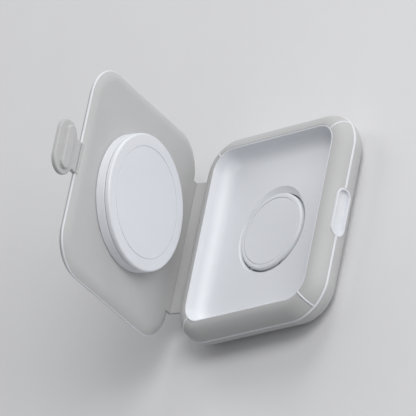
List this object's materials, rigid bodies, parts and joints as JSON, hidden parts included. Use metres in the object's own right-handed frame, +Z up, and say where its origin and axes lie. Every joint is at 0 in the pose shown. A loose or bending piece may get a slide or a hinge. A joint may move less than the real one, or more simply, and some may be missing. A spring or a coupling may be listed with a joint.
{
  "type": "folding charger case",
  "caption": "Pocket clamshell charging case: round phone charging disc on a folding lid, small puck in a shallow tray, soft spine and strap clasp.",
  "frame": {"origin": "centre of the tray's flat underside", "axes": "+Z up out of the tray, +X from the spine towards the clasp socket, +Y along the spine"},
  "size_m": [0.0924, 0.0914, 0.1075],
  "materials": {
    "soft_skin": "soft matt skin with a fine grain",
    "white_shell": "satin white moulding",
    "disc_white": "smooth white moulding",
    "joint_dark": "dark joint ring",
    "copper": "enamelled copper winding",
    "ferrite": "dull ferrite sheet",
    "magnet": "nickel plating",
    "steel": "plain steel",
    "board": "solder resist",
    "chips": "moulded black",
    "flat_cable": "amber film"
  },
  "bodies": {
    "tray": {"base_screws": "steel", "base_shell": "white_shell", "base_skin": "soft_skin", "board_parts": "chips", "clasp_keeper": "steel", "clasp_socket": "white_shell", "inlet_shell": "steel", "inlet_tongue": "chips", "main_board": "board", "puck_coil": "copper", "puck_face": "white_shell", "puck_ferrite": "ferrite", "puck_hinge_pin": "steel", "puck_housing": "white_shell", "puck_magnet": "magnet", "tray_flex": "flat_cable", "tray_shell": "white_shell", "wall_skin_back": "soft_skin", "wall_skin_front": "soft_skin", "wall_skin_left": "soft_skin", "wall_skin_right": "soft_skin"},
    "spine": {"spine_strip": "soft_skin", "spine_flex": "flat_cable"},
    "lid": {"disc_base": "disc_white", "disc_board": "board", "disc_cap": "disc_white", "disc_coil": "copper", "disc_ferrite": "ferrite", "disc_gasket": "joint_dark", "disc_magnets": "magnet", "disc_screws": "steel", "lid_core": "white_shell", "lid_flex": "flat_cable", "lid_inner_skin": "soft_skin", "lid_outer_skin": "soft_skin"},
    "tab": {"clasp_tab": "soft_skin", "clasp_magnet": "magnet"}
  },
  "joints": [
    {"name": "spine_fold", "type": "hinge", "parent": "tray", "child": "spine", "pos_m": [-0.04135, 0, 0.0098], "axis": [0, 1, 0], "range_deg": [-60.74, 75]},
    {"name": "lid_fold", "type": "hinge", "parent": "spine", "child": "lid", "pos_m": [-0.0485, 0, 0.01172], "axis": [0, 1, 0], "range_deg": [-44.26, 0]},
    {"name": "tab_fold", "type": "hinge", "parent": "lid", "child": "tab", "pos_m": [-0.02837, 0, 0.09261], "axis": [0, 1, 0], "range_deg": [0, 90], "stiffness_Nm_per_rad": 0.002}
  ]
}
